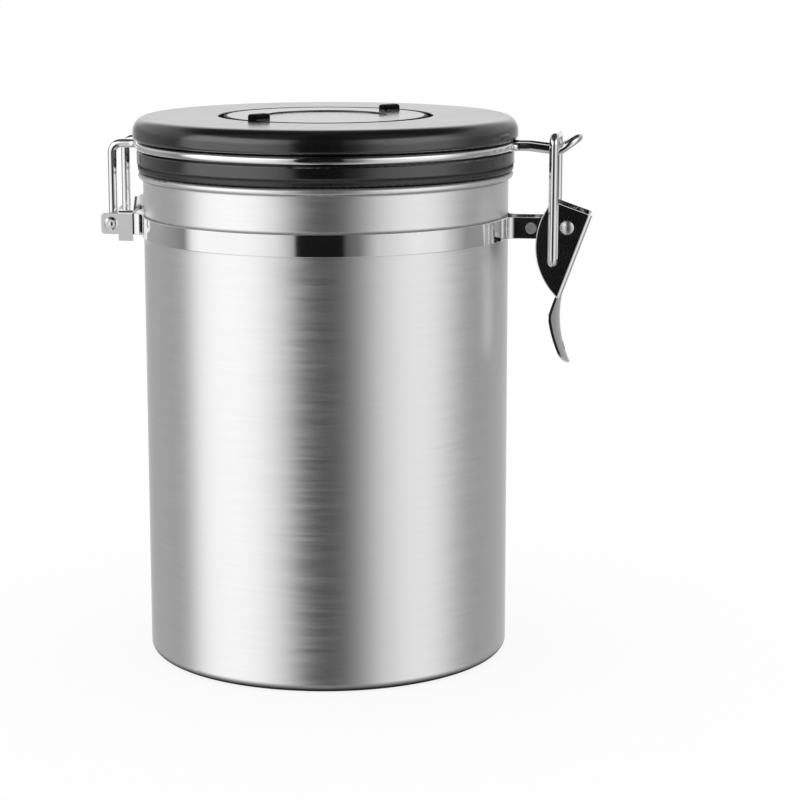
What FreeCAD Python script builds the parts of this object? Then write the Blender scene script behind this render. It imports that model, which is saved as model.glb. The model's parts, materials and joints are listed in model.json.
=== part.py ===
import FreeCAD, Part
import math
import os

# Food canister: a round steel can, a black clamp lid held by one bent wire, and an over-centre lever latch.
# Millimetres, +Z up. The origin is the middle of the can's base, the hinge is at -X and the latch at +X.

# Can
can_radius = 62.0
can_height = 166.2          # to the top of the rolled rim
wall = 0.6                  # sheet of the wall and the base
rim_roll = 1.1              # radius of the rolled rim
base_corner = 3.0           # outside rounding of the base
base_seam = 4.0             # height of the seam between wall and base
base_lap = 6.0              # how far the base's collar stands up inside the wall
lap_clearance = 0.03
groove_radius = 47.0        # pressed groove round the base
groove_width = 4.0
groove_rise = 0.8

# Neck strap, two halves
strap_height = 7.2
strap_thick = 0.7
strap_drop = 18.3           # rim top down to the strap's middle
strap_gap = 0.05            # strap clear of the wall
strap_bend = 4.0            # centreline radius where an end turns outward
strap_edge = 0.25           # rounding of the long edges

# Hinge at -X
hinge_reach = 10.3          # wall to the hinge axis
ear_spread = 12.0           # strap's middle plane to each ear
ear_end = 3.6               # ear past the hinge axis
ear_round = 1.2
clip_sheet = 0.8
clip_width = 4.9
clip_offset = 2.6           # wall to the clip's near edge
clip_below = 2.1            # legs past the strap's lower edge
clip_gap = 0.05             # clip clear of the ears' sides
clip_lift = 0.2             # clip's top plate clear of the ears' upper edges
lip_height = 4.2            # upturned lip on the clip
lip_foot = 9.0              # half widths of the lip
lip_top = 6.0

# Wire of the bail and the latch link
wire_radius = 1.5
pivot_clearance = 0.05      # radial, pins in their holes
leg_spread = 9.0            # middle plane to each hinge leg of the bail
pin_bend = 2.2
pin_past_ear = 0.9          # pin end past the ear's outer face
wire_head_radius = 2.3      # upset head that keeps the pin in the ear
wire_head_gap = 0.1
leg_bend = 3.2
ring_bend = 4.0             # bends where the bail leaves the lid
hairpin_spread = 4.5
hairpin_straight = 3.0      # level run before the arms dip
hairpin_dip = 1.2           # crook below the ring's plane
hairpin_rise = 4.2          # tip above the crook
hairpin_reach = 7.4         # crook to the outside of the tip
crook_bend = 4.0
dip_bend = 12.0
tip_slack = 0.1             # keeps the two tip bends apart

# Lever latch at +X
latch_reach = 20.7          # wall to the lever's pivot
pivot_rise = 0.5            # pivot above the strap's middle
arm_spread = 5.0            # middle plane to each strap arm
arm_end = 3.5               # arm past the pivot
arm_round = 3.0
pin_radius = 1.6
pin_head_radius = 2.35
pin_head = 0.7
pin_head_gap = 0.1          # heads clear of the lever's cheeks
bush_wall = 0.9
bush_gap = 0.05
rivet_inset = 12.1          # pivot back to the rivet
rivet_radius = 1.4
rivet_dish = 0.9            # radius and depth of the hollow in each head
rivet_dish_depth = 0.35
rivet_head_radius = 1.9
rivet_head = 0.5
sheet = 0.8                 # lever's sheet
cheek_gap = 0.3             # lever's cheeks clear of the arms
cheek_top = (-5.0, 8.7)     # cheek corners, from the pivot: x outward, z up
cheek_corner = (8.4, 4.0)
cheek_tip = (-2.2, -24.6)
cheek_belly = (-10.4, -9.0) # on the cheek's curved edge
spine_round = 1.8           # outside of the folds between spine and cheeks
cheek_edge = 0.3
joint_at = (-4.6, -11.8)    # link joint, from the pivot
link_gap = 0.3              # link's legs clear of the pin heads
link_bend = 3.0
link_end_bend = 2.0
link_pin_past = 0.2         # link ends past the cheeks' inner faces
crossbar_shift = 0.2        # crossbar outward of the link joint
hook_room = 1.85            # crossbar above the bail's crook, spent at dead centre
crook_shift = 1.5           # crook outward of the crossbar
tab_start = 1.5             # thumb tab's root up the spine from the tip
tab_end = (0.6, -46.5)
tab_bulge = 1.9             # bow of the tab along its length
tab_crown = 2.6             # bow of the tab across its width
tab_neck = 5.0              # half widths of the tab
tab_wide = 8.0
tab_foot = 5.2
tab_shoulder = 0.3          # place of the widest line, as a share of the tab's length
tab_round = 4.5
tab_hole = 1.6
tab_hole_up = 5.6           # hole up from the tab's end

# Lid
gasket_gap = 0.3            # gasket above the rim
gasket_height = 2.2
gasket_overhang = 1.7       # gasket past the can wall
gasket_round = 0.8
skirt_overhang = 2.0        # lid's skirt past the can wall
skirt_height = 4.6
skirt_round = 0.6
groove_height = 3.6         # wire groove
wire_sink = 2.1             # wire's middle inside the disc's edge
groove_clearance = 0.1
disc_overhang = 3.3         # lid's top disc past the can wall
disc_height = 7.8
disc_round = 5.0
disc_lower_round = 1.5
lid_wall = 2.2
lid_top_wall = 2.4
ceiling_round = 2.0
plug_inset = 4.5            # plug inside the can's outer face, clear of the rim as the lid swings
plug_wall = 2.5
plug_depth = 2.0            # below the rim
plug_lip = 0.7
plug_lip_height = 1.7
plug_lip_round = 0.5
plate_thick = 2.0
plate_clearance = 0.1
gasket_clearance = 0.1

# Date dial on the lid
dial_radius = 34.6
dial_gap = 1.8              # open ring round the dial
dial_depth = 2.4
dial_under = 0.1            # dial clear of the recess floor
dial_floor = 1.8
dial_well_radius = 21.0
dial_well_depth = 0.45
dial_well_edge = 0.2
dial_edge = 0.4
stem_radius = 4.0
stem_clearance = 0.06
stem_past = 2.6             # stem below the recess floor
clip_ring_radius = 8.0
clip_ring_thick = 1.3
clip_ring_gap = 0.3
clip_ring_bore_gap = 0.02
finger_length = 8.0
finger_width = 4.5
finger_height = 2.0
finger_inset = 0.2          # finger tab inside the dial's edge
finger_corner = 2.0
finger_round = 0.9
finger_root = 0.5
finger_angle = 53.5         # degrees from +X, with the other tab opposite

# One-way valve under the lid
valve_radius = 13.9
valve_wall = 2.1
valve_clearance = 0.05
valve_flange = 3.1
valve_flange_thick = 1.2
valve_rise = 2.0            # tube above the plate
valve_floor = 1.0
valve_floor_up = 1.3        # floor above the plate's underside
vent_circle = 5.5
vent_radius = 1.2
vent_count = 6
flap_radius = 8.0
flap_thick = 0.8
flap_stem = 1.4
flap_bulb = 2.0
flap_bulb_height = 1.1
flap_clearance = 0.1
filter_thick = 0.8
filter_hole = 2.6
filter_clearance = 0.2
cap_clearance = 0.1
cap_wall = 1.5
cap_height = 2.2
cap_floor = 1.0
slot_count = 8
slot_width = 1.4
slot_inner = 3.0
slot_outer = 9.0

# Levels and places worked out from the sizes above
gasket_radius = can_radius + gasket_overhang
skirt_radius = can_radius + skirt_overhang
disc_radius = can_radius + disc_overhang
plug_radius = can_radius - plug_inset
gasket_low = can_height + gasket_gap
skirt_low = gasket_low + gasket_height
groove_low = skirt_low + skirt_height
disc_low = groove_low + groove_height
lid_top = disc_low + disc_height
wire_level = (groove_low + disc_low) / 2
ring_radius = disc_radius - wire_sink
groove_floor = ring_radius - wire_radius - groove_clearance
lid_inner = groove_floor - lid_wall
strap_mid = can_height - strap_drop
strap_low = strap_mid - strap_height / 2
strap_top = strap_mid + strap_height / 2
strap_ring = can_radius + strap_gap + strap_thick / 2
hinge_x = can_radius + hinge_reach
ear_outer = ear_spread + strap_thick / 2
lever_x = can_radius + latch_reach
lever_z = strap_mid + pivot_rise
arm_outer = arm_spread + strap_thick / 2
cheek_inner = arm_outer + cheek_gap
cheek_outer = cheek_inner + sheet
pin_hole = pin_radius + pivot_clearance
wire_hole = wire_radius + pivot_clearance
head_inner = cheek_outer + pin_head_gap
link_spread = head_inner + pin_head + link_gap + wire_radius
crook_level = wire_level - hairpin_dip
link_x = lever_x + joint_at[0]
link_z = lever_z + joint_at[1]
crossbar_x = link_x + crossbar_shift
crossbar_z = crook_level + 2 * wire_radius + hook_room
crook_x = crossbar_x + crook_shift
recess_floor = lid_top - dial_depth
plate_low = skirt_low
valve_bore = valve_radius - valve_wall
valve_floor_low = plate_low + valve_floor_up
flange_low = plate_low - valve_flange_thick

TINY = 1e-6
Z = FreeCAD.Vector(0, 0, 1)
Y = FreeCAD.Vector(0, 1, 0)


def V(x, y, z):
    return FreeCAD.Vector(x, y, z)


def line(start, end):
    return Part.LineSegment(start, end).toShape()


def arc(start, middle, end):
    return Part.Arc(start, middle, end).toShape()


def unit(vector):
    return vector * (1 / vector.Length)


def corner(before, point, after, radius):
    # Start, middle and end of the arc that rounds one corner
    back = unit(before - point)
    ahead = unit(after - point)
    half = back.getAngle(ahead) / 2
    run = radius / math.tan(half)
    middle = unit(back + ahead) * (radius / math.sin(half) - radius)
    return point + back * run, point + middle, point + ahead * run


def bent(points, radii):
    # Straight runs joined by tangent arcs, one radius for each inner point
    edges = []
    last = points[0]
    for before, point, after, radius in zip(points, points[1:], points[2:], radii):
        start, middle, end = corner(before, point, after, radius)
        edges += [line(last, start), arc(start, middle, end)]
        last = end
    return edges + [line(last, points[-1])]


def outline(corners, place):
    # Face inside a closed polygon; a corner is (u, v) or (u, v, rounding)
    points = [place(c[0], c[1]) for c in corners]
    count = len(points)
    ends = []
    for i, c in enumerate(corners):
        if len(c) == 3:
            ends.append(corner(points[i - 1], points[i], points[(i + 1) % count], c[2]))
        else:
            ends.append((points[i], None, points[i]))
    edges = []
    for i, (start, middle, end) in enumerate(ends):
        if middle is not None:
            edges.append(arc(start, middle, end))
        following = ends[(i + 1) % count][0]
        if (following - end).Length > TINY:
            edges.append(line(end, following))
    return Part.Face(Part.Wire(edges))


def turned(corners):
    # Solid of revolution about the can's axis; corners are (radius, height)
    return outline(corners, lambda u, v: V(u, 0, v)).revolve(V(0, 0, 0), Z, 360)


def plate_along_y(corners, low, high):
    # Flat piece whose outline lies in XZ
    return outline(corners, lambda u, v: V(u, low, v)).extrude(V(0, high - low, 0))


def peg(x, z, radius, low, high):
    # Round bar along Y
    return Part.makeCylinder(radius, high - low, V(x, low, z), Y)


def rod(edges, radius):
    # Round wire along a chain of tangent lines and arcs
    path = Part.Wire(edges)
    first = edges[0]
    along = first.tangentAt(first.FirstParameter)
    ring = Part.Wire(Part.makeCircle(radius, path.OrderedVertexes[0].Point, along))
    return path.makePipeShell([ring], True, False)


def mirrored(shape):
    return shape.mirror(V(0, 0, 0), Y)


def edges_where(shape, test):
    return [e for e in shape.Edges if all(test(v.Point) for v in e.Vertexes)]


def flipped(edges):
    # The same chain on the other side of the middle plane, in the opposite order
    return [mirrored(e) for e in reversed(edges)]


def leave_ring(sign, spread, ring, bend, level, offset=0.0):
    # Points of the bend where a strip or wire leaves a ring to run out along X
    reach = math.sqrt((ring + bend) ** 2 - (spread + bend) ** 2)
    centre = V(sign * reach, -(spread + bend), level)
    toward = unit(V(0, 0, level) - centre)
    radius = bend - offset
    return centre + Y * radius, centre + unit(Y + toward) * radius, centre + toward * radius


# Can wall: a tube with a rolled rim
def make_can_wall():
    inner = can_radius - wall
    roll_r = inner + rim_roll
    roll_z = can_height - rim_roll
    turn = math.acos((can_radius - roll_r) / rim_roll)
    under = V(can_radius, 0, roll_z - rim_roll * math.sin(turn))
    side_point = V(roll_r + rim_roll, 0, roll_z)
    low_mid = V(roll_r + rim_roll * math.cos(turn / 2), 0, roll_z - rim_roll * math.sin(turn / 2))
    edges = [
        line(V(inner, 0, base_seam), V(inner, 0, roll_z)),
        arc(V(inner, 0, roll_z), V(roll_r, 0, can_height), side_point),
        arc(side_point, low_mid, under),
        line(under, V(can_radius, 0, base_seam)),
        line(V(can_radius, 0, base_seam), V(inner, 0, base_seam)),
    ]
    return Part.Face(Part.Wire(edges)).revolve(V(0, 0, 0), Z, 360)


# Can base: a pressed cup whose collar stands inside the wall
def make_can_base():
    collar = can_radius - wall - lap_clearance
    inner = collar - wall
    in_low = groove_radius - groove_width / 2
    in_high = in_low + groove_rise
    out_low = groove_radius + groove_width / 2
    out_high = out_low - groove_rise
    return turned([
        (0, 0),
        (in_low, 0),
        (in_high, groove_rise),
        (out_high, groove_rise),
        (out_low, 0),
        (can_radius, 0, base_corner),
        (can_radius, base_seam),
        (collar, base_seam),
        (collar, base_seam + base_lap),
        (inner, base_seam + base_lap),
        (inner, wall, base_corner - wall),
        (out_low + wall / 2, wall),
        (out_high + wall / 2, groove_rise + wall),
        (in_high - wall / 2, groove_rise + wall),
        (in_low - wall / 2, wall),
        (0, wall),
    ])


# One half of the neck strap: an ear at the hinge, a half turn round the neck and an arm at the latch
def strap_side(offset):
    ear = leave_ring(-1, ear_spread, strap_ring, strap_bend, strap_low, offset)
    arm = leave_ring(1, arm_spread, strap_ring, strap_bend, strap_low, offset)
    front = V(0, -(strap_ring + offset), strap_low)
    ear_tip = V(-(hinge_x + ear_end), ear[0].y, strap_low)
    arm_tip = V(lever_x + arm_end, arm[0].y, strap_low)
    edges = [
        line(ear_tip, ear[0]),
        arc(ear[0], ear[1], ear[2]),
        arc(ear[2], front, arm[2]),
        arc(arm[2], arm[1], arm[0]),
        line(arm[0], arm_tip),
    ]
    return edges, ear_tip, arm_tip


def end_edges(shape, x):
    # Short edges across the sheet at one end of a strap
    at_end = edges_where(shape, lambda p: abs(p.x - x) < TINY)
    return [e for e in at_end if abs(e.tangentAt(e.FirstParameter).y) > 0.5]


def make_strap_half():
    outer, outer_ear, outer_arm = strap_side(strap_thick / 2)
    inner, inner_ear, inner_arm = strap_side(-strap_thick / 2)
    edges = outer + inner + [line(outer_ear, inner_ear), line(outer_arm, inner_arm)]
    face = Part.Face(Part.Wire(Part.__sortEdges__(edges)))
    strap = face.extrude(Z * strap_height)
    strap = strap.makeFillet(ear_round, end_edges(strap, outer_ear.x))
    strap = strap.makeFillet(arm_round, end_edges(strap, outer_arm.x))
    long_edges = edges_where(strap, lambda p: abs(p.z - strap_mid) > strap_height / 2 - TINY)
    strap = strap.makeFillet(strap_edge, long_edges)
    holes = [
        peg(-hinge_x, strap_mid, wire_hole, -2 * ear_spread, 0),
        peg(lever_x, lever_z, pin_hole, -2 * arm_spread, 0),
        peg(lever_x - rivet_inset, strap_mid, rivet_radius + pivot_clearance, -2 * arm_spread, 0),
    ]
    return strap.cut(holes)


# Hinge clip: a folded sheet over both ears, with a lip turned up against the can
def make_hinge_clip():
    low = strap_low - clip_below
    under = strap_top + clip_lift
    top = under + clip_sheet
    inside = ear_outer + clip_gap
    outside = inside + clip_sheet
    near = -(can_radius + clip_offset)

    def at(x):
        return lambda u, v: V(x, u, v)

    saddle = outline([
        (-outside, low), (-outside, top, clip_sheet * 1.5),
        (outside, top, clip_sheet * 1.5), (outside, low),
        (inside, low), (inside, under, clip_sheet / 2), (-inside, under, clip_sheet / 2), (-inside, low),
    ], at(near)).extrude(V(-clip_width, 0, 0))
    lip = outline([
        (-lip_foot, under), (lip_foot, under), (lip_top, top + lip_height, clip_sheet),
        (-lip_top, top + lip_height, clip_sheet),
    ], at(near)).extrude(V(-clip_sheet, 0, 0))
    return saddle.fuse(lip).removeSplitter()


# Domed heads on both ends of a round bar along Y
def domed_heads(x, z, radius, height, foot):
    ball = (radius ** 2 + height ** 2) / (2 * height)
    top = foot + height
    dome = Part.makeSphere(ball, V(x, top - ball, z)).common(peg(x, z, radius, foot, top))
    return [dome, mirrored(dome)]


# Bail: one bent wire from ear to ear, round the lid and out to a hairpin at the latch
def make_bail():
    pin_end = ear_outer + pin_past_ear
    hinge = leave_ring(-1, leg_spread, ring_radius, ring_bend, wire_level)
    latch = leave_ring(1, hairpin_spread, ring_radius, ring_bend, wire_level)
    leg = bent([
        V(-hinge_x, -pin_end, strap_mid),
        V(-hinge_x, -leg_spread, strap_mid),
        V(-hinge_x, -leg_spread, wire_level),
        hinge[0],
    ], [pin_bend, leg_bend])
    half_ring = [
        arc(hinge[0], hinge[1], hinge[2]),
        arc(hinge[2], V(0, -ring_radius, wire_level), latch[2]),
        arc(latch[2], latch[1], latch[0]),
    ]
    tip_x = crook_x + hairpin_reach - wire_radius
    tip_z = crook_level + hairpin_rise
    level_end = V(latch[0].x + hairpin_straight, -hairpin_spread, wire_level)
    arm = [
        latch[0],
        level_end,
        V(crook_x, -hairpin_spread, crook_level),
        V(tip_x, -hairpin_spread, tip_z),
    ]
    path = arm + [V(p.x, -p.y, p.z) for p in reversed(arm)]
    tip_bend = hairpin_spread - tip_slack
    hairpin = bent(path, [dip_bend, crook_bend, tip_bend, tip_bend, crook_bend, dip_bend])
    wire = rod(leg + half_ring + hairpin + flipped(half_ring) + flipped(leg), wire_radius)
    foot = ear_outer + wire_head_gap
    heads = domed_heads(-hinge_x, strap_mid, wire_head_radius, pin_past_ear, foot)
    return wire.fuse(heads).removeSplitter()


# Lever: a folded channel with a dished thumb tab
def cheek_point(pair):
    return V(lever_x + pair[0], -cheek_outer, lever_z + pair[1])


def fold_edges(shape, start, end):
    # Edges along the fold that runs from start to end
    on_fold = edges_where(shape, lambda p: (p - start).cross(end - start).y ** 2 < TINY)
    return [e for e in on_fold if abs(e.tangentAt(e.FirstParameter).y) < 0.5]


def on_rim(edge, spine):
    # On a cheek's outer face, and not beside the spine
    on_face = all(abs(v.Point.y) > cheek_outer - TINY for v in edge.Vertexes)
    across = edge.tangentAt(edge.FirstParameter).cross(spine).Length
    return on_face and edge.BoundBox.YLength < sheet and across > TINY


def make_lever_channel():
    top = cheek_point(cheek_top)
    heel = cheek_point(cheek_corner)
    tip = cheek_point(cheek_tip)
    cheek = Part.Face(Part.Wire([
        line(top, heel),
        line(heel, tip),
        arc(tip, cheek_point(cheek_belly), top),
    ]))
    block = cheek.extrude(Y * (2 * cheek_outer))
    along = unit(heel - tip)
    block = block.makeFillet(spine_round, fold_edges(block, heel, tip))
    block = block.makeFillet(cheek_edge, [e for e in block.Edges if on_rim(e, along)])
    inward = unit(V(-along.z, 0, along.x))
    room = (heel - tip).Length
    face_top = heel + inward * sheet + along * room
    face_low = tip + inward * sheet - along * room
    inside = [face_top, face_low, face_low + inward * room, face_top + inward * room]
    hollow = plate_along_y([(p.x, p.z) for p in inside], -cheek_inner, cheek_inner)
    hollow = hollow.makeFillet(spine_round - sheet, fold_edges(hollow, face_top, face_low))
    return block.cut(hollow), tip + along * tab_start + inward * (sheet / 2)


def make_lever():
    channel, root = make_lever_channel()
    start = V(root.x, 0, root.z)
    end = V(lever_x + tab_end[0], 0, lever_z + tab_end[1])
    chord = end - start
    across = unit(V(chord.z, 0, -chord.x))
    centre = arc(start, (start + end) * 0.5 + across * tab_bulge, end).Curve.Center
    crown = (tab_wide ** 2 + tab_crown ** 2) / (2 * tab_crown)
    spread = math.asin(tab_wide / crown)
    toward = unit(centre - start)
    sides = []
    for radius in (crown - sheet / 2, crown + sheet / 2):
        turns = [toward * math.cos(a) + Y * math.sin(a) for a in (-spread, 0, spread)]
        sides.append([start - toward * crown + turn * radius for turn in turns])
    (near_a, near_mid, near_b), (far_a, far_mid, far_b) = sides
    section = Part.Face(Part.Wire([
        arc(near_a, near_mid, near_b), line(near_b, far_b),
        arc(far_b, far_mid, far_a), line(far_a, near_a),
    ]))
    swing = (start - centre).getAngle(end - centre)
    skin = section.revolve(centre, unit((start - centre).cross(end - centre)), math.degrees(swing))
    low = end.z
    shoulder = low + (start.z - low) * (1 - tab_shoulder)
    leaf = outline([
        (-tab_neck, start.z + sheet), (tab_neck, start.z + sheet), (tab_wide, shoulder, tab_round),
        (tab_foot, low, tab_round), (-tab_foot, low, tab_round), (-tab_wide, shoulder, tab_round),
    ], lambda u, v: V(lever_x - tab_wide, u, v)).extrude(V(2 * tab_wide, 0, 0))
    behind = V(lever_x - tab_wide, 0, low + tab_hole_up)
    hole = Part.makeCylinder(tab_hole, 2 * tab_wide, behind, V(1, 0, 0))
    tab = skin.common(leaf).cut(hole)
    bores = [
        peg(lever_x, lever_z, pin_hole, -2 * cheek_outer, 2 * cheek_outer),
        peg(link_x, link_z, wire_hole, -2 * cheek_outer, 2 * cheek_outer),
    ]
    return channel.fuse(tab).removeSplitter().cut(bores)


# Link: a wire loop from the lever up over the bail's hairpin
def make_link():
    end_y = cheek_inner - link_pin_past
    half = [
        V(link_x, -end_y, link_z),
        V(link_x, -link_spread, link_z),
        V(crossbar_x, -link_spread, crossbar_z),
    ]
    path = half + [V(p.x, -p.y, p.z) for p in reversed(half)]
    return rod(bent(path, [link_end_bend, link_bend, link_bend, link_end_bend]), wire_radius)


# Lever pin with a domed head at each end, the bush between the arms and the dished rivet
def make_lever_pin():
    pin = peg(lever_x, lever_z, pin_radius, -head_inner, head_inner)
    heads = domed_heads(lever_x, lever_z, pin_head_radius, pin_head, head_inner)
    return pin.fuse(heads).removeSplitter()


def make_pivot_bush():
    half = arm_spread - strap_thick / 2 - bush_gap
    tube = peg(lever_x, lever_z, pin_hole + bush_wall, -half, half)
    return tube.cut(peg(lever_x, lever_z, pin_hole, -half, half))


def make_latch_rivet():
    x = lever_x - rivet_inset
    reach = arm_outer + rivet_head
    rivet = peg(x, strap_mid, rivet_radius, -reach, reach)
    for low, high in ((-reach, -arm_outer), (arm_outer, reach)):
        rivet = rivet.fuse(peg(x, strap_mid, rivet_head_radius, low, high))
    dish = peg(x, strap_mid, rivet_dish, reach - rivet_dish_depth, reach)
    return rivet.removeSplitter().cut([dish, mirrored(dish)])


# Lid cover: a moulded shell with the wire groove round its side and the dial's recess on top
def make_lid_cover():
    bore = stem_radius + stem_clearance
    recess = dial_radius + dial_gap
    ceiling = lid_top - lid_top_wall
    under = recess_floor - dial_floor
    return turned([
        (bore, recess_floor),
        (recess, recess_floor),
        (recess, lid_top, dial_edge),
        (disc_radius, lid_top, disc_round),
        (disc_radius, disc_low, disc_lower_round),
        (groove_floor, disc_low),
        (groove_floor, groove_low),
        (skirt_radius, groove_low, skirt_round),
        (skirt_radius, skirt_low, skirt_round),
        (lid_inner, skirt_low),
        (lid_inner, ceiling, ceiling_round),
        (recess + lid_wall, ceiling),
        (recess + lid_wall, under),
        (bore, under),
    ])


# Inner plate: closes the lid from below, and its plug ring carries the gasket
def make_lid_plate():
    bore = valve_radius + valve_clearance
    foot = can_height - plug_depth
    lip = plug_radius + plug_lip
    edge = lid_inner - plate_clearance
    return turned([
        (bore, plate_low),
        (plug_radius - plug_wall, plate_low),
        (plug_radius - plug_wall, foot),
        (lip, foot, plug_lip_round),
        (lip, foot + plug_lip_height),
        (plug_radius, foot + plug_lip_height),
        (plug_radius, plate_low),
        (edge, plate_low),
        (edge, plate_low + plate_thick),
        (bore, plate_low + plate_thick),
    ])


def make_gasket():
    inner = plug_radius + gasket_clearance
    return turned([
        (inner, gasket_low),
        (gasket_radius, gasket_low, gasket_round),
        (gasket_radius, skirt_low),
        (inner, skirt_low),
    ])


# Date dial: a wheel with a sunk middle, a stem through the lid and two finger tabs
def make_finger(angle):
    outer = dial_radius - finger_inset
    inner = outer - finger_length
    half = finger_width / 2
    base = lid_top - finger_root
    pad = outline([
        (inner, -half, finger_corner), (outer, -half, finger_corner),
        (outer, half, finger_corner), (inner, half, finger_corner),
    ], lambda u, v: V(u, v, base)).extrude(Z * (finger_root + finger_height))
    crown = edges_where(pad, lambda p: p.z > lid_top + finger_height - TINY)
    pad = pad.makeFillet(finger_round, crown)
    pad.rotate(V(0, 0, 0), Z, angle)
    return pad


def make_dial_wheel():
    under = recess_floor + dial_under
    well = lid_top - dial_well_depth
    foot = recess_floor - dial_floor - stem_past
    wheel = turned([
        (0, well),
        (dial_well_radius, well),
        (dial_well_radius, lid_top, dial_well_edge),
        (dial_radius, lid_top, dial_edge),
        (dial_radius, under, dial_edge),
        (stem_radius, under),
        (stem_radius, foot),
        (0, foot),
    ])
    return wheel.fuse([make_finger(finger_angle), make_finger(finger_angle + 180)]).removeSplitter()


def make_dial_retainer():
    top = recess_floor - dial_floor - clip_ring_gap
    bore = stem_radius + clip_ring_bore_gap
    return turned([
        (bore, top - clip_ring_thick),
        (clip_ring_radius, top - clip_ring_thick),
        (clip_ring_radius, top),
        (bore, top),
    ])


# One-way valve: seat, umbrella flap, filter disc and slotted cap
def around(tool, count):
    copies = []
    for i in range(count):
        copy = tool.copy()
        copy.rotate(V(0, 0, 0), Z, 360 * i / count)
        copies.append(copy)
    return copies


def make_valve_seat():
    hole = flap_stem + flap_clearance
    floor_top = valve_floor_low + valve_floor
    tube_top = plate_low + plate_thick + valve_rise
    flange = valve_radius + valve_flange
    seat = turned([
        (hole, valve_floor_low),
        (valve_bore, valve_floor_low),
        (valve_bore, flange_low),
        (flange, flange_low, valve_flange_thick / 2),
        (flange, plate_low),
        (valve_radius, plate_low),
        (valve_radius, tube_top),
        (valve_bore, tube_top),
        (valve_bore, floor_top),
        (hole, floor_top),
    ])
    below = valve_floor_low - valve_floor / 2
    vent = Part.makeCylinder(vent_radius, 2 * valve_floor, V(vent_circle, 0, below))
    return seat.cut(around(vent, vent_count))


def make_valve_flap():
    seat_top = valve_floor_low + valve_floor
    bulb_low = valve_floor_low - flap_bulb_height
    return turned([
        (0, bulb_low),
        (flap_stem, bulb_low),
        (flap_bulb, valve_floor_low),
        (flap_stem, valve_floor_low),
        (flap_stem, seat_top),
        (flap_radius, seat_top),
        (flap_radius - flap_thick, seat_top + flap_thick),
        (0, seat_top + flap_thick),
    ])


def make_valve_filter():
    outer = valve_bore - filter_clearance
    return turned([
        (filter_hole, valve_floor_low - filter_thick),
        (outer, valve_floor_low - filter_thick),
        (outer, valve_floor_low),
        (filter_hole, valve_floor_low),
    ])


def make_valve_cap():
    outer = valve_bore - cap_clearance
    top = valve_floor_low - filter_thick
    low = top - cap_height
    cap = turned([
        (0, low),
        (outer, low, cap_floor / 2),
        (outer, top),
        (outer - cap_wall, top),
        (outer - cap_wall, low + cap_floor),
        (0, low + cap_floor),
    ])
    half = slot_width / 2
    slot = outline([
        (slot_inner, -half), (slot_outer, -half), (slot_outer, half), (slot_inner, half),
    ], lambda u, v: V(u, v, low - cap_floor)).extrude(Z * (3 * cap_floor))
    return cap.cut(around(slot, slot_count))


strap_front = make_strap_half()
pieces = {
    "can_wall": make_can_wall(),
    "can_base": make_can_base(),
    "strap_front": strap_front,
    "strap_back": mirrored(strap_front),
    "hinge_clip": make_hinge_clip(),
    "bail_wire": make_bail(),
    "latch_lever": make_lever(),
    "latch_link": make_link(),
    "lever_pin": make_lever_pin(),
    "pivot_bush": make_pivot_bush(),
    "latch_rivet": make_latch_rivet(),
    "lid_cover": make_lid_cover(),
    "lid_plate": make_lid_plate(),
    "lid_gasket": make_gasket(),
    "dial_wheel": make_dial_wheel(),
    "dial_retainer": make_dial_retainer(),
    "valve_seat": make_valve_seat(),
    "valve_flap": make_valve_flap(),
    "valve_filter": make_valve_filter(),
    "valve_cap": make_valve_cap(),
}

os.makedirs("parts", exist_ok=True)
for name, shape in pieces.items():
    shape.exportStep("parts/" + name + ".step")
    box = shape.BoundBox
    print(name, "valid", shape.isValid(), "solids", len(shape.Solids), "volume", round(shape.Volume, 1),
          "x", round(box.XMin, 1), round(box.XMax, 1), "z", round(box.ZMin, 1), round(box.ZMax, 1))
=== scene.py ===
# %% [markdown]
# # A steel food canister
# The canister is a brushed can, a glossy black lid held by a bent wire, and a polished lever latch.
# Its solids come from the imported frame, at their real size and place, so no shape is made here.
# This file places the camera, sets up a small studio and gives each surface its finish.

# %% Load the frame
import json
import math

import bpy
from mathutils import Matrix, Vector


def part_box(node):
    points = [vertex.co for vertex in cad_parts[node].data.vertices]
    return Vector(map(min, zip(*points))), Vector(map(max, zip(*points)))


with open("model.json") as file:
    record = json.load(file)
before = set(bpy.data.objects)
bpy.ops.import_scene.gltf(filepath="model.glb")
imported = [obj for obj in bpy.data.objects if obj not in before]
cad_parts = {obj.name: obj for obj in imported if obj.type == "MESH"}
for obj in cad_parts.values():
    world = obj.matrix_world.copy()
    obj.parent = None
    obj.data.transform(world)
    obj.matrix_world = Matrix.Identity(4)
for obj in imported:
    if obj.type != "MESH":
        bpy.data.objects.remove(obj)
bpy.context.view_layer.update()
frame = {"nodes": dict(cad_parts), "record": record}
print("pieces of the frame:", sorted(frame["nodes"]))


# %% [markdown]
# ## Shader maths as Python
# A finish is a small network of nodes. It could be drawn by hand in the shader editor,
# or made node by node in code, but both hide the idea behind it.
# So a socket is wrapped in a class whose operators add Math nodes,
# and a line such as `1.0 - mask` reads as what it does.

# %% Sockets
class Socket:
    """An output socket that can be used in sums."""

    def __init__(self, graph, link):
        self.graph = graph
        self.link = link

    def maths(self, operation, first, second=0.0):
        made = self.graph.node("ShaderNodeMath", {"operation": operation}, {0: first, 1: second})
        return made["Value"]

    def __add__(self, other):
        return self.maths("ADD", self, other)

    def __radd__(self, other):
        return self.maths("ADD", other, self)

    def __sub__(self, other):
        return self.maths("SUBTRACT", self, other)

    def __rsub__(self, other):
        return self.maths("SUBTRACT", other, self)

    def __mul__(self, other):
        return self.maths("MULTIPLY", self, other)

    def __rmul__(self, other):
        return self.maths("MULTIPLY", other, self)

    def __truediv__(self, other):
        return self.maths("DIVIDE", self, other)

    def __rtruediv__(self, other):
        return self.maths("DIVIDE", other, self)


print("sockets can be added, taken away, multiplied and divided")


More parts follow.
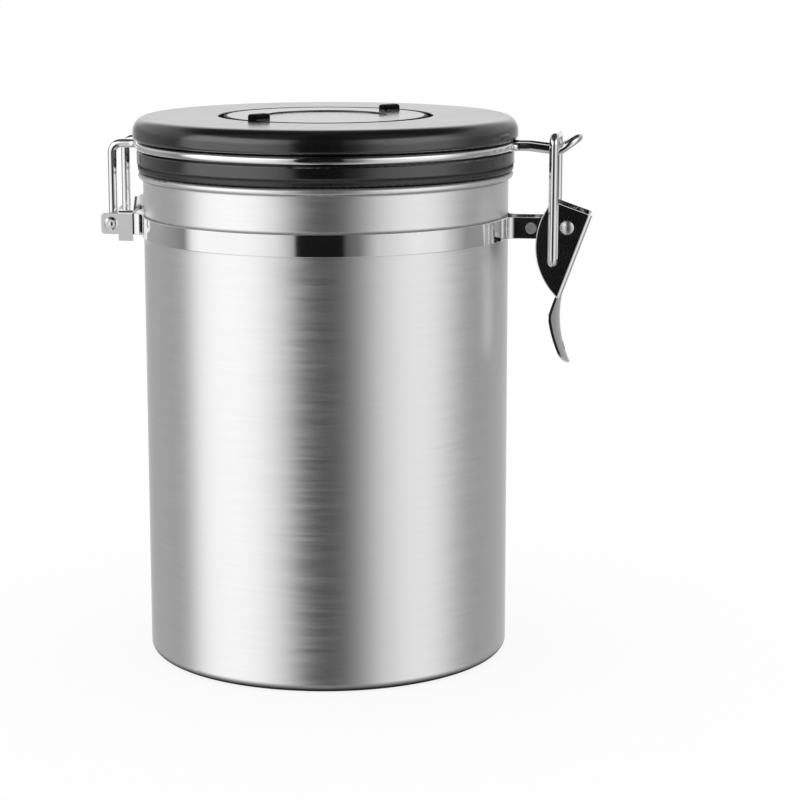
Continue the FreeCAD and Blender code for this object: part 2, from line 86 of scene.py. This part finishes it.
# %% [markdown]
# ## Nodes from one method
# Every node that isn't a sum comes from one method: its type, its settings, then its sockets.
# An input could be looked up by name alone, but a Mix node has an input called A for each kind of value,
# and only one of them is in use. So it is looked up by its place, or by its name among those in use.

# %% Nodes
class Graph:
    """A node tree that hands out wrapped sockets."""

    def __init__(self, tree):
        self.tree = tree

    def node(self, kind, settings=None, inputs=None):
        made = self.tree.nodes.new(kind)
        for key, value in (settings or {}).items():
            if key == "stops":
                set_stops(made.color_ramp, value)
            else:
                setattr(made, key, value)
        for key, value in (inputs or {}).items():
            if isinstance(value, Socket):
                self.tree.links.new(value.link, input_in_use(made, key))
            else:
                input_in_use(made, key).default_value = value
        return {output.name: Socket(self, output) for output in made.outputs if output.enabled}


def input_in_use(made, key):
    if isinstance(key, int):
        return made.inputs[key]
    return next(socket for socket in made.inputs if socket.name == key and socket.enabled)


def grey(level):
    return (level, level, level, 1.0)


def set_stops(ramp, stops):
    """Gives a colour ramp grey stops from pairs of place and level."""
    while len(ramp.elements) < len(stops):
        ramp.elements.new(1.0)
    for element, (place, level) in zip(ramp.elements, stops):
        element.position = place
        element.color = grey(level)


print("nodes and grey stops ready")


# %% [markdown]
# ## The camera
# The photograph looks slightly down at the can, from a little round towards the latch.
# A camera could be pointed by a constraint and nudged until the picture fits.
# Here its place, aim, roll and lens are numbers, found from the curves of the base, the strap and the lid:
# the nearer the camera, the more those curves open from the lid down to the base.

# %% Camera
VIEW_AZIMUTH = math.radians(10.0)
CAMERA_DISTANCE = 0.8495  # metres from the can's axis
CAMERA_HEIGHT = 0.2499
AIM_RIGHT = 0.02955  # radians
AIM_DOWN = 0.19036
ROLL = -0.0006
LENS = 112.4  # millimetres


def camera_axes():
    """The camera's right, up and back directions as the columns of a matrix."""
    forward = Vector((
        math.sin(AIM_RIGHT) * math.cos(AIM_DOWN),
        math.cos(AIM_RIGHT) * math.cos(AIM_DOWN),
        -math.sin(AIM_DOWN),
    ))
    right = forward.cross(Vector((0, 0, 1))).normalized()
    up = right.cross(forward)
    rolled_right = right * math.cos(ROLL) + up * math.sin(ROLL)
    rolled_up = up * math.cos(ROLL) - right * math.sin(ROLL)
    return Matrix((rolled_right, rolled_up, -forward)).transposed().to_4x4()


def place_camera():
    data = bpy.data.cameras.new("photo_camera")
    data.lens = LENS
    made = bpy.data.objects.new("photo_camera", data)
    bpy.context.scene.collection.objects.link(made)
    place = Matrix.Translation((0, -CAMERA_DISTANCE, CAMERA_HEIGHT))
    made.matrix_world = Matrix.Rotation(VIEW_AZIMUTH, 4, "Z") @ place @ camera_axes()
    bpy.context.scene.camera = made
    return made


camera = place_camera()
print("camera at", tuple(round(v, 3) for v in camera.matrix_world.translation))


# %% [markdown]
# ## The room that the metal shows
# Polished metal shows the room round it, so the room decides how the can looks.
# It could be built from lamps and white cards, but each card has an edge that has to be hidden.
# Here the room is brightness by direction: two broad white panels in front of the can with a dark gap
# between them, dimmer walls at the sides and a white wall behind.
# The ceiling is dark, which gives round edges and wires their dark outlines, and the ground is pale.

# %% Room by direction
ROOM_WALLS = [  # degrees round from the front, left is negative, and brightness
    (-180, 1.0), (-168, 1.0), (-155, 0.4), (-125, 0.36), (-98, 0.22), (-91, 0.85),
    (-84, 1.04), (-52, 1.04), (-42, 0.97), (-31, 0.78), (-19.8, 0.39), (-18.8, 0.006),
    (10.6, 0.006), (11.6, 0.1), (20, 0.17), (31, 0.59), (42, 0.75), (56, 0.88),
    (74, 0.82), (83, 0.56), (96, 0.28), (112, 0.29), (130, 0.36), (145, 0.42),
    (155, 0.5), (168, 1.0), (180, 1.0),
]
ROOM_HEIGHTS = [  # height of a direction, from 0 straight down to 1 straight up, and brightness
    (0.0, 1.0), (0.55, 1.0), (0.61, 1.5), (0.78, 1.5), (0.86, 0.14), (1.0, 0.06),
]
GROUND_SHARE = [(0.1, 1.0), (0.27, 0.0)]  # by the same height: how far the ground takes over
GROUND_PLAIN = 0.14
GROUND_OF_WALLS = 0.5
WHOLE_TURN = 360  # degrees
MIDDLE = 0.5  # of a ramp: straight ahead on the walls, level in height


def grey_ramp(graph, stops, mask):
    return graph.node("ShaderNodeValToRGB", {"stops": stops}, {"Fac": mask})["Color"]


def room_pattern(graph):
    """Brightness of the room in a direction."""
    direction = graph.node("ShaderNodeTexCoord")["Generated"]
    part = graph.node("ShaderNodeSeparateXYZ", inputs={0: direction})
    ahead = part["X"] * math.sin(VIEW_AZIMUTH) - part["Y"] * math.cos(VIEW_AZIMUTH)
    aside = part["X"] * math.cos(VIEW_AZIMUTH) + part["Y"] * math.sin(VIEW_AZIMUTH)
    turn = aside.maths("ARCTAN2", aside, ahead) / math.tau + MIDDLE
    height = part["Z"] * MIDDLE + MIDDLE
    walls = grey_ramp(graph, [(angle / WHOLE_TURN + MIDDLE, level) for angle, level in ROOM_WALLS], turn)
    band = grey_ramp(graph, ROOM_HEIGHTS, height)
    ground = grey_ramp(graph, GROUND_SHARE, height)
    pale_ground = walls * GROUND_OF_WALLS + GROUND_PLAIN
    return walls * band * (1.0 - ground) + pale_ground * ground


print("room of", len(ROOM_WALLS), "stops round and", len(ROOM_HEIGHTS), "stops up")


# %% [markdown]
# ## The world
# The photograph's background is plain white. A white wall could stand behind the can,
# but it would have to follow the camera. The world tells rays apart instead:
# the camera sees white, reflections see the room, and all other rays get an even soft light.
# All of it is fixed in the world, so the reflections stay put when the camera moves.

# %% World
BACKDROP_WHITE = grey(1.0)
SOFT_LIGHT = grey(1.0)
ROOM_WHITE = grey(1.0)


def build_world():
    world = bpy.data.worlds.new("studio")
    bpy.context.scene.world = world
    world.use_nodes = True
    world.node_tree.nodes.clear()
    graph = Graph(world.node_tree)
    backdrop = graph.node("ShaderNodeBackground", inputs={"Color": BACKDROP_WHITE})["Background"]
    soft = graph.node("ShaderNodeBackground", inputs={"Color": SOFT_LIGHT})["Background"]
    levels = {"Color": ROOM_WHITE, "Strength": room_pattern(graph)}
    room = graph.node("ShaderNodeBackground", inputs=levels)["Background"]
    ray = graph.node("ShaderNodeLightPath")
    lit = graph.node("ShaderNodeMixShader", inputs={0: ray["Is Glossy Ray"], 1: soft, 2: room})["Shader"]
    whole = graph.node("ShaderNodeMixShader", inputs={0: ray["Is Camera Ray"], 1: lit, 2: backdrop})
    graph.node("ShaderNodeOutputWorld", inputs={"Surface": whole["Shader"]})
    return world


studio = build_world()
bpy.context.scene.view_settings.view_transform = "Standard"
print("made the world", studio.name)


# %% [markdown]
# ## The floor
# The can stands on white ground with a faint soft shadow. A shadow-only floor would need the film
# to be see-through, so the floor is a pale sheet. The camera sees it almost white, with a share of its
# own shading left for the shadow. It is hidden from reflections, where the room has its own ground.

# %% Floor
FLOOR_HALF = 3.0  # metres
FLOOR_CORNERS = [(-1, -1), (1, -1), (1, 1), (-1, 1)]
FLOOR_PALE = grey(0.97)
FLOOR_GLOW = {"Color": grey(1.0), "Strength": 1.0}
FLOOR_WHITENED = 0.86


def floor_paper():
    material = bpy.data.materials.new("floor_paper")
    material.use_nodes = True
    material.node_tree.nodes.clear()
    graph = Graph(material.node_tree)
    paper = graph.node("ShaderNodeBsdfDiffuse", inputs={"Color": FLOOR_PALE})["BSDF"]
    glow = graph.node("ShaderNodeEmission", inputs=FLOOR_GLOW)["Emission"]
    seen = graph.node("ShaderNodeLightPath")["Is Camera Ray"] * FLOOR_WHITENED
    mixed = graph.node("ShaderNodeMixShader", inputs={0: seen, 1: paper, 2: glow})["Shader"]
    graph.node("ShaderNodeOutputMaterial", inputs={"Surface": mixed})
    return material


def build_floor():
    mesh = bpy.data.meshes.new("floor")
    points = [(x * FLOOR_HALF, y * FLOOR_HALF, 0.0) for x, y in FLOOR_CORNERS]
    mesh.from_pydata(points, [], [(0, 1, 2, 3)])
    mesh.materials.append(floor_paper())
    floor = bpy.data.objects.new("floor", mesh)
    bpy.context.scene.collection.objects.link(floor)
    floor.visible_glossy = False
    return mesh


sheet = build_floor()
print("made a", sheet.name, "with", len(sheet.vertices), "corners")


# %% [markdown]
# ## What a finish is made of
# Each finish starts from one physically based shader. A flat colour would be quicker,
# but real steel and plastic are never the same all over.
# So what is the same all over is set on the shader's sockets, and what varies over the surface,
# such as brush lines, smears or grain, is linked into a few of them.

# %% A finish
def make_finish(name, fixed, vary):
    material = bpy.data.materials.new(name)
    material.use_nodes = True
    shader = material.node_tree.nodes["Principled BSDF"]
    for socket, value in fixed.items():
        shader.inputs[socket].default_value = value
    for socket, value in vary(Graph(material.node_tree)).items():
        material.node_tree.links.new(value.link, shader.inputs[socket])
    print("made", name)
    return material


print("a finish takes a name, fixed values and a function for those that vary")


# %% [markdown]
# ## Noise, tones and limits
# Wear and grain have no pattern that could be drawn, so they come from noise in the object's own metres.
# A picture of real grain would repeat and blur. Noise does neither, and when it is stretched
# along one axis it turns into lines. Most noise lies near its middle, so a tone uses only that part.

# %% Noise and tones
NOISE_LOW, NOISE_HIGH = 0.25, 0.75
USUAL_DETAIL = 3.0


def vector_maths(graph, operation, inputs, output="Vector"):
    return graph.node("ShaderNodeVectorMath", {"operation": operation}, inputs)[output]


def stretched_noise(graph, scale, detail=USUAL_DETAIL):
    """Noise with its own number of steps in a metre along each axis."""
    place = graph.node("ShaderNodeTexCoord")["Object"]
    stretched = vector_maths(graph, "MULTIPLY", {0: place, 1: scale})
    made = graph.node("ShaderNodeTexNoise", inputs={"Vector": stretched, "Scale": 1.0, "Detail": detail})
    return made["Fac"]


def tone(graph, noise, levels):
    """A grey between two levels, by a noise."""
    low, high = levels
    return grey_ramp(graph, [(NOISE_LOW, low), (NOISE_HIGH, high)], noise)


def between(mask, limits):
    """A number that goes from the first limit to the second as the mask goes from 0 to 1."""
    low, high = limits
    return low + mask * (high - low)


print("tones use noise from", NOISE_LOW, "to", NOISE_HIGH)


# %% [markdown]
# ## Masks by place
# Lines of painted shade and dulled edges lie at known places, such as under the rim or where the gasket
# rests.
# They could be painted on a picture wrapped round the piece. Because the pieces are round and upright,
# a height or a distance from the axis is enough, and it stays sharp at any size of render.

# %% Masks
ONLY_ACROSS = (1.0, 1.0, 0.0)


def clipped(mask):
    return mask.maths("MINIMUM", mask.maths("MAXIMUM", mask, 0.0), 1.0)


def height_of(graph):
    place = graph.node("ShaderNodeTexCoord")["Object"]
    return graph.node("ShaderNodeSeparateXYZ", inputs={0: place})["Z"]


def line_at(graph, level, half):
    """A mask that is 1 on a level line round the piece and 0 beyond its half width."""
    off = height_of(graph) - level
    return 1.0 - clipped(off.maths("ABSOLUTE", off) / half)


def beyond(graph, radius, ramp):
    """A mask that goes from 0 to 1 over a short way out from a radius about the upright axis."""
    place = graph.node("ShaderNodeTexCoord")["Object"]
    flat = vector_maths(graph, "MULTIPLY", {0: place, 1: ONLY_ACROSS})
    reach = vector_maths(graph, "LENGTH", {0: flat}, "Value")
    return clipped((reach - radius) / ramp)


print("masks by height and by distance ready")


# %% [markdown]
# ### Painted shade on the can
# Shade is painted into the steel's colour at its foot, under the rolled rim, along the strap's upper edge
# and on the top of the rim where the gasket rests, and the same lines roughen the steel. The light's own
# shadows are too faint there at this size, so these thin lines of painted shade stand in for them.
# The lines at rim and strap stay on the wall's outside, and the inside is left clean.

# %% Painted shade lines
CAN_RADIUS = 0.062  # metres, like all the lengths here
OUTER_SKIN, SKIN_RAMP = 0.0003, 0.0001
STRAP_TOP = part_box("strap_front")[1][2]
RIM_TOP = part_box("can_wall")[1][2]
FOOT_LEVEL, FOOT_HALF, FOOT_GAIN = 0.0, 0.003, 1.6
RIM_DROP, RIM_HALF = 0.0023, 0.0006
STRAP_RISE, STRAP_HALF = 0.0002, 0.0008
LINE_SHARE = 0.6
GASKET_HALF, GASKET_GAIN, GASKET_SHARE = 0.0009, 1.5, 0.4


def painted_shade_lines(graph):
    # painted shade: a contact shadow at the foot, and shade under the rim, over the strap and where the
    # gasket rests
    outside = beyond(graph, CAN_RADIUS - OUTER_SKIN, SKIN_RAMP)
    foot = clipped(line_at(graph, FOOT_LEVEL, FOOT_HALF) * FOOT_GAIN)
    under_rim = line_at(graph, RIM_TOP - RIM_DROP, RIM_HALF) * LINE_SHARE * outside
    over_strap = line_at(graph, STRAP_TOP + STRAP_RISE, STRAP_HALF) * LINE_SHARE * outside
    gasket_rest = clipped(line_at(graph, RIM_TOP, GASKET_HALF) * GASKET_GAIN) * GASKET_SHARE
    return foot + under_rim + over_strap + gasket_rest


print("rim at", round(RIM_TOP, 4), "and strap's edge at", round(STRAP_TOP, 4))


# %% [markdown]
# ### Brushed steel
# The can's sheet is brushed round the axis, so its lines run level. They could be cut as real grooves,
# but those are finer than a pixel. Noise that is squeezed hard in height and hardly at all round the can
# gives the lines. Each one turns the surface a little to the side, so the edges of the reflected panels
# break up into streaks, and it changes the roughness and the tone.

# %% Brushed steel
UPRIGHT = (0.0, 0.0, 1.0)
FINE_SCALE, FINE_SHARE = (45.0, 45.0, 2800.0), 0.4
BROAD_SCALE, BROAD_SHARE, BROAD_DETAIL = (55.0, 55.0, 750.0), 0.6, 2.0
BRUSH_MIDDLE, BRUSH_TURN = 0.5, -0.06  # where a line doesn't turn the surface, and radians for each step of 1
BRUSHED_TONES = (0.9, 0.96)
BRUSHED_ROUGHNESS = (0.29, 0.43)
# colour of the painted shade lines, and the extra roughness on them
PAINTED_SHADE_DARK, SHADE_LINE_ROUGHNESS = grey(0.055), 0.5


def blend(graph, mask, first, second):
    """One colour turning into another as the mask goes from 0 to 1."""
    inputs = {"Factor": mask, "A": first, "B": second}
    return graph.node("ShaderNodeMix", {"data_type": "RGBA"}, inputs)["Result"]


def turned_round(graph, angle):
    """The surface's normal, turned round the upright axis by a small angle in radians."""
    normal = graph.node("ShaderNodeNewGeometry")["Normal"]
    along = vector_maths(graph, "CROSS_PRODUCT", {0: UPRIGHT, 1: normal})
    push = vector_maths(graph, "SCALE", {"Vector": along, "Scale": angle})
    leaning = vector_maths(graph, "ADD", {0: normal, 1: push})
    return vector_maths(graph, "NORMALIZE", {0: leaning})


def brushed(graph):
    fine = stretched_noise(graph, FINE_SCALE)
    broad = stretched_noise(graph, BROAD_SCALE, BROAD_DETAIL)
    lines = fine * FINE_SHARE + broad * BROAD_SHARE
    painted_shade = painted_shade_lines(graph)
    return {
        # painted shade: the shade lines darken the steel's colour here
        "Base Color": blend(graph, painted_shade, tone(graph, lines, BRUSHED_TONES), PAINTED_SHADE_DARK),
        "Roughness": between(lines, BRUSHED_ROUGHNESS) + painted_shade * SHADE_LINE_ROUGHNESS,
        "Normal": turned_round(graph, (lines - BRUSH_MIDDLE) * BRUSH_TURN),
    }


brushed_steel = make_finish(
    "brushed_steel",
    {"Metallic": 1.0, "Anisotropic": 0.3, "Anisotropic Rotation": 0.25},
    brushed,
)


# %% [markdown]
# ### Polished steel
# Strap, wire, clip and lever are bright polished steel. It could be a perfect mirror,
# but that looks like glass. A broad smear varies its gloss instead,
# and a fine bump stands for the lines that drawing and rolling leave.

# %% Polished steel
SMEAR_SCALE = (60.0, 60.0, 90.0)
DRAWN_SCALE, DRAWN_DETAIL = (900.0, 900.0, 2500.0), 2.0
DRAWN_DEPTH, DRAWN_STRENGTH = 0.00001, 0.12
POLISHED_TONES = (0.86, 0.93)
POLISHED_ROUGHNESS = (0.05, 0.11)


def bump(graph, height, depth, strength):
    inputs = {"Height": height, "Distance": depth, "Strength": strength}
    return graph.node("ShaderNodeBump", inputs=inputs)["Normal"]


def polished(graph):
    smear = stretched_noise(graph, SMEAR_SCALE)
    drawn = stretched_noise(graph, DRAWN_SCALE, DRAWN_DETAIL)
    return {
        "Base Color": tone(graph, smear, POLISHED_TONES),
        "Roughness": between(smear, POLISHED_ROUGHNESS),
        "Normal": bump(graph, drawn, DRAWN_DEPTH, DRAWN_STRENGTH),
    }


polished_steel = make_finish("polished_steel", {"Metallic": 1.0}, polished)


# %% [markdown]
# ### Barrelled steel
# The rivet and the lever's pin are tumbled in a barrel of grit, not polished, and come out softly scuffed.
# They could share the polished finish, but then their heads would be lost among the latch's reflections.
# A noise that is the same along every axis gives the scuffs, because a barrel has no direction.

# %% Barrelled steel
SCUFF_SCALE, SCUFF_DETAIL = 700.0, 4.0
SCUFF_DEPTH, SCUFF_STRENGTH = 0.00002, 0.2
BARRELLED_TONES = (0.74, 0.86)
BARRELLED_ROUGHNESS = (0.24, 0.36)


def even_noise(graph, scale, detail=USUAL_DETAIL):
    return stretched_noise(graph, (scale, scale, scale), detail)


def barrelled(graph):
    scuff = even_noise(graph, SCUFF_SCALE, SCUFF_DETAIL)
    return {
        "Base Color": tone(graph, scuff, BARRELLED_TONES),
        "Roughness": between(scuff, BARRELLED_ROUGHNESS),
        "Normal": bump(graph, scuff, SCUFF_DEPTH, SCUFF_STRENGTH),
    }


barrelled_steel = make_finish("barrelled_steel", {"Metallic": 1.0}, barrelled)


# %% [markdown]
# ### Glossy black lid
# The lid is moulded from black plastic in a polished tool. Black alone shows little, so its look is gloss.
# A smooth surface would reflect too perfectly, so a shallow ripple bends it, as moulding does,
# and a dull crease runs where the skirt meets the gasket.

# %% Glossy black lid
SKIRT_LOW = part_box("lid_cover")[0][2]
CREASE_HALF, CREASE_ROUGHNESS = 0.0009, 0.7
RIPPLE_SCALE, RIPPLE_DETAIL = 45.0, 1.0
RIPPLE_DEPTH, RIPPLE_STRENGTH = 0.0002, 0.1
DUST_SCALE, DUST_DETAIL = 1500.0, 2.0
LID_TONES = (0.003, 0.006)
LID_ROUGHNESS = (0.12, 0.2)


def glossy_black(graph):
    ripple = even_noise(graph, RIPPLE_SCALE, RIPPLE_DETAIL)
    dust = even_noise(graph, DUST_SCALE, DUST_DETAIL)
    crease = line_at(graph, SKIRT_LOW, CREASE_HALF)
    return {
        "Base Color": tone(graph, dust, LID_TONES),
        "Roughness": between(ripple, LID_ROUGHNESS) + crease * CREASE_ROUGHNESS,
        "Normal": bump(graph, ripple, RIPPLE_DEPTH, RIPPLE_STRENGTH),
    }


lid_plastic = make_finish("glossy_black_plastic", {"IOR": 1.6, "Specular IOR Level": 1.0}, glossy_black)


# %% [markdown]
# ### Dial
# The dial's face is glossy like the lid, but its finger tabs and rim are matt, so they look black.
# The wheel could have two materials, but its faces would then have to be sorted.
# A clear coat gives the gloss instead, and a mask by place takes it off the tabs and the rim.

# %% Dial
LID_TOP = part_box("lid_cover")[1][2]
DIAL_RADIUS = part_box("dial_wheel")[1][0]
TAB_RISE, TAB_RAMP = 0.0002, 0.0002
MATT_RIM, MATT_RIM_RAMP = 0.0013, 0.0003
MATT_SCALE, MATT_DETAIL = 1500.0, 2.0
MATT_DEPTH, MATT_STRENGTH = 0.00003, 0.3
DIAL_TONES = (0.002, 0.004)
DIAL_ROUGHNESS = (0.45, 0.65)


def above(graph, level, ramp):
    """A mask that goes from 0 to 1 over a short height above a level."""
    return clipped((height_of(graph) - level) / ramp)


def dial_black(graph):
    grain = even_noise(graph, MATT_SCALE, MATT_DETAIL)
    tabs = above(graph, LID_TOP + TAB_RISE, TAB_RAMP)
    rim = beyond(graph, DIAL_RADIUS - MATT_RIM, MATT_RIM_RAMP)
    return {
        "Base Color": tone(graph, grain, DIAL_TONES),
        "Roughness": between(grain, DIAL_ROUGHNESS),
        "Coat Weight": (1.0 - tabs) * (1.0 - rim),
        "Normal": bump(graph, grain, MATT_DEPTH, MATT_STRENGTH),
    }


dial_plastic = make_finish(
    "dial_plastic",
    {"IOR": 1.45, "Specular IOR Level": 0.12, "Coat IOR": 1.97, "Coat Roughness": 0.16},
    dial_black,
)


# %% [markdown]
# ### Satin black plastic
# The lid's inner plate, the dial's retainer and the hard parts of the valve come from a tool
# with a fine etched grain, which hides scratches. The grain is too small to model,
# so a fine noise roughens and bumps the surface.

# %% Satin black plastic
ETCHED_SCALE, ETCHED_DETAIL = 2200.0, 2.0
ETCHED_DEPTH, ETCHED_STRENGTH = 0.00004, 0.4
SATIN_TONES = (0.016, 0.03)
SATIN_ROUGHNESS = (0.34, 0.5)


def satin_black(graph):
    grain = even_noise(graph, ETCHED_SCALE, ETCHED_DETAIL)
    return {
        "Base Color": tone(graph, grain, SATIN_TONES),
        "Roughness": between(grain, SATIN_ROUGHNESS),
        "Normal": bump(graph, grain, ETCHED_DEPTH, ETCHED_STRENGTH),
    }


inner_plastic = make_finish("satin_black_plastic", {"IOR": 1.48}, satin_black)


# %% [markdown]
# ### Silicone
# The gasket between lid and rim and the valve's flap are soft black silicone. They could share
# the lid's plastic, but the gasket would then melt into the lid. So it is a little duller,
# with the same crease where the two meet.

# %% Silicone
SILICONE_SCALE = 1800.0
SILICONE_DEPTH, SILICONE_STRENGTH = 0.00003, 0.3
SILICONE_TONES = (0.005, 0.01)
SILICONE_ROUGHNESS = (0.2, 0.36)
SILICONE_CREASE_ROUGHNESS = 0.6


def matt_silicone(graph):
    grain = even_noise(graph, SILICONE_SCALE)
    crease = line_at(graph, SKIRT_LOW, CREASE_HALF)
    return {
        "Base Color": tone(graph, grain, SILICONE_TONES),
        "Roughness": between(grain, SILICONE_ROUGHNESS) + crease * SILICONE_CREASE_ROUGHNESS,
        "Normal": bump(graph, grain, SILICONE_DEPTH, SILICONE_STRENGTH),
    }


silicone = make_finish("matt_silicone", {"IOR": 1.5, "Specular IOR Level": 0.8}, matt_silicone)


# %% [markdown]
# ### Filter felt
# A pad of pale felt keeps dust out of the valve. Separate fibres would be thousands of curves
# for a piece that is seldom seen, so a stretched, detailed noise stands for them.

# %% Filter felt
FIBRE_SCALE, FIBRE_DETAIL = (2600.0, 900.0, 1500.0), 5.0
FIBRE_DEPTH, FIBRE_STRENGTH = 0.0002, 0.8
FELT_TONES = (0.55, 0.82)
FELT_ROUGHNESS = (0.8, 0.95)


def pale_felt(graph):
    fibre = stretched_noise(graph, FIBRE_SCALE, FIBRE_DETAIL)
    return {
        "Base Color": tone(graph, fibre, FELT_TONES),
        "Roughness": between(fibre, FELT_ROUGHNESS),
        "Normal": bump(graph, fibre, FIBRE_DEPTH, FIBRE_STRENGTH),
    }


felt = make_finish("pale_felt", {}, pale_felt)


# %% [markdown]
# ## Dressing the pieces
# Each solid could be given its finish by name, but the record already says which material slot it is in,
# so the slot decides. Three pieces look unlike the rest of their slot and are named one by one.

# %% Assign finishes
FINISH_OF_SLOT = {
    "can_steel": brushed_steel,
    "strap_steel": polished_steel,
    "wire_steel": polished_steel,
    "lever_steel": polished_steel,
    "lid_plastic": lid_plastic,
    "inner_plastic": inner_plastic,
    "seal_silicone": silicone,
    "filter_felt": felt,
}
FINISH_OF_NODE = {
    "latch_rivet": barrelled_steel,
    "lever_pin": barrelled_steel,
    "dial_wheel": dial_plastic,
}


def dress(node, finish):
    piece = frame["nodes"][node]
    if not piece.material_slots:
        piece.data.materials.append(finish)
    for place in piece.material_slots:
        place.material = finish


for subpart in frame["record"]["subparts"]:
    slot_finish = FINISH_OF_SLOT[subpart["material_slot"]]
    dress(subpart["node"], FINISH_OF_NODE.get(subpart["node"], slot_finish))
